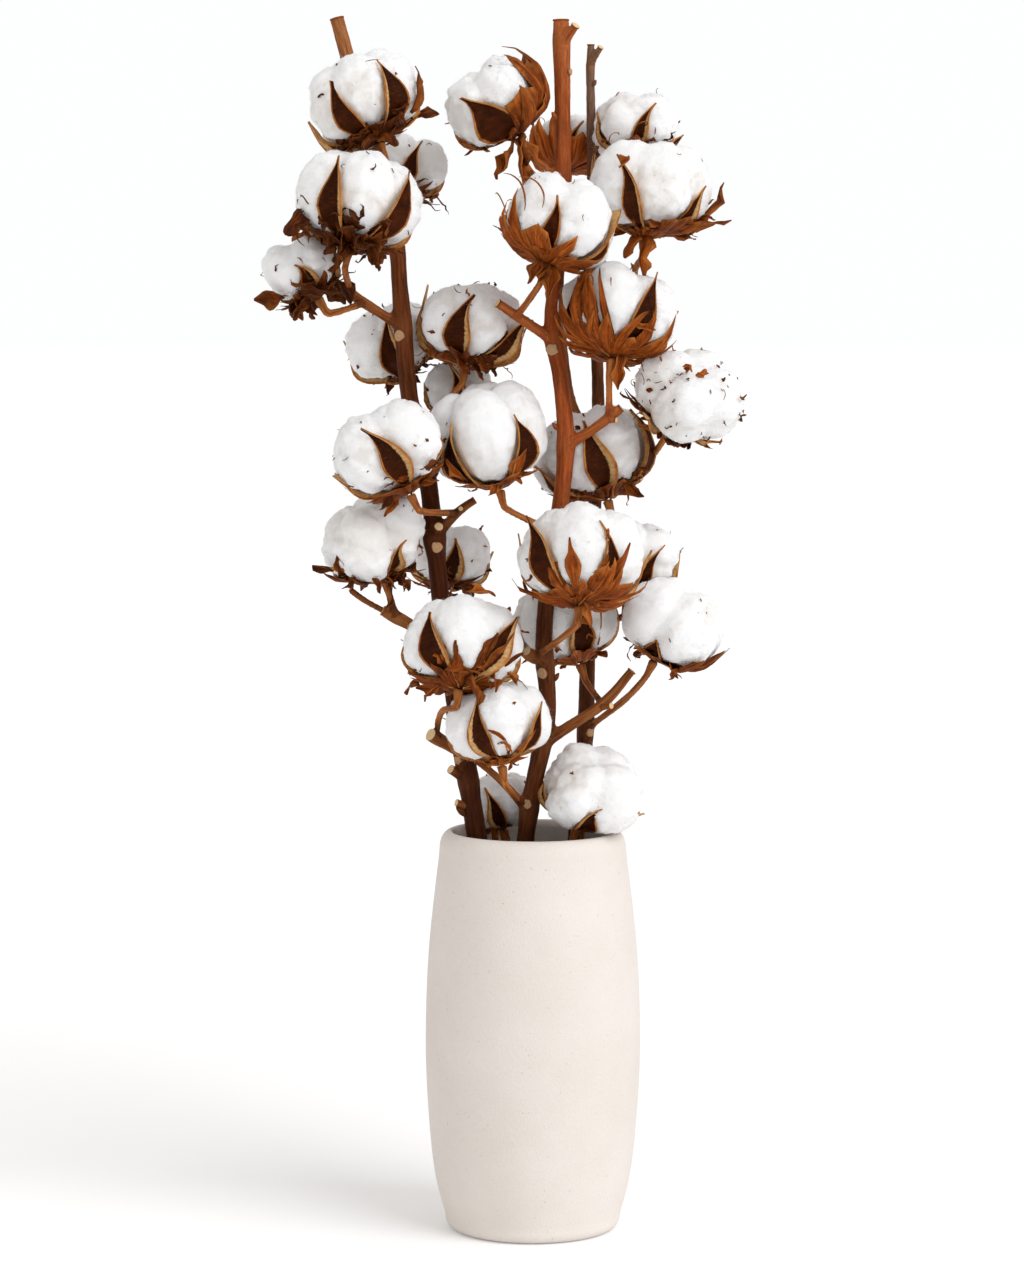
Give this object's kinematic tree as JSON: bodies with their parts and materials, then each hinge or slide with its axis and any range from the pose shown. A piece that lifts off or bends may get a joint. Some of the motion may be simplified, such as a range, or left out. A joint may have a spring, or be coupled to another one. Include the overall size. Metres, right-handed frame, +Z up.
{
  "type": "cotton stem bunch",
  "caption": "Dried cotton stalks with open white bolls, standing loose in a barrel-shaped cream stoneware vase.",
  "frame": {"origin": "middle of the vase's flat foot, on the surface it stands on", "axes": "+Z up along the vase's axis; the front of the bunch faces -Y; +X is to its right"},
  "size_m": [0.2835, 0.1666, 0.7532],
  "materials": {
    "stoneware": "matte with fine pits",
    "bark_dark": "dry bark, dark brown",
    "bark_red": "dry bark, reddish brown",
    "bark_grey": "dry bark, greyish brown",
    "dry_husk": "dry matte husk with pale edges",
    "lint": "soft white cotton fibre"
  },
  "bodies": {
    "root": {"vase": "stoneware", "stalk_left": "bark_dark", "stalk_middle": "bark_red", "stalk_right": "bark_grey", "boll_01_husk": "dry_husk", "boll_01_lint": "lint", "boll_02_husk": "dry_husk", "boll_02_lint": "lint", "boll_03_husk": "dry_husk", "boll_03_lint": "lint", "boll_04_husk": "dry_husk", "boll_04_lint": "lint", "boll_05_husk": "dry_husk", "boll_05_lint": "lint", "boll_06_husk": "dry_husk", "boll_06_lint": "lint", "boll_07_husk": "dry_husk", "boll_07_lint": "lint", "boll_08_husk": "dry_husk", "boll_08_lint": "lint", "boll_09_husk": "dry_husk", "boll_09_lint": "lint", "boll_10_husk": "dry_husk", "boll_10_lint": "lint", "boll_11_husk": "dry_husk", "boll_11_lint": "lint", "boll_12_husk": "dry_husk", "boll_12_lint": "lint", "boll_13_husk": "dry_husk", "boll_13_lint": "lint", "boll_14_husk": "dry_husk", "boll_14_lint": "lint", "boll_15_husk": "dry_husk", "boll_15_lint": "lint", "boll_16_husk": "dry_husk", "boll_16_lint": "lint", "boll_17_husk": "dry_husk", "boll_17_lint": "lint", "boll_18_husk": "dry_husk", "boll_18_lint": "lint", "boll_19_husk": "dry_husk", "boll_19_lint": "lint", "boll_20_husk": "dry_husk", "boll_20_lint": "lint", "boll_21_husk": "dry_husk", "boll_21_lint": "lint", "boll_22_husk": "dry_husk", "boll_22_lint": "lint", "boll_23_husk": "dry_husk", "boll_23_lint": "lint", "boll_24_husk": "dry_husk", "boll_24_lint": "lint", "boll_25_husk": "dry_husk", "boll_25_lint": "lint", "boll_26_husk": "dry_husk", "boll_26_lint": "lint", "boll_27_husk": "dry_husk", "boll_27_lint": "lint"}
  },
  "joints": []
}
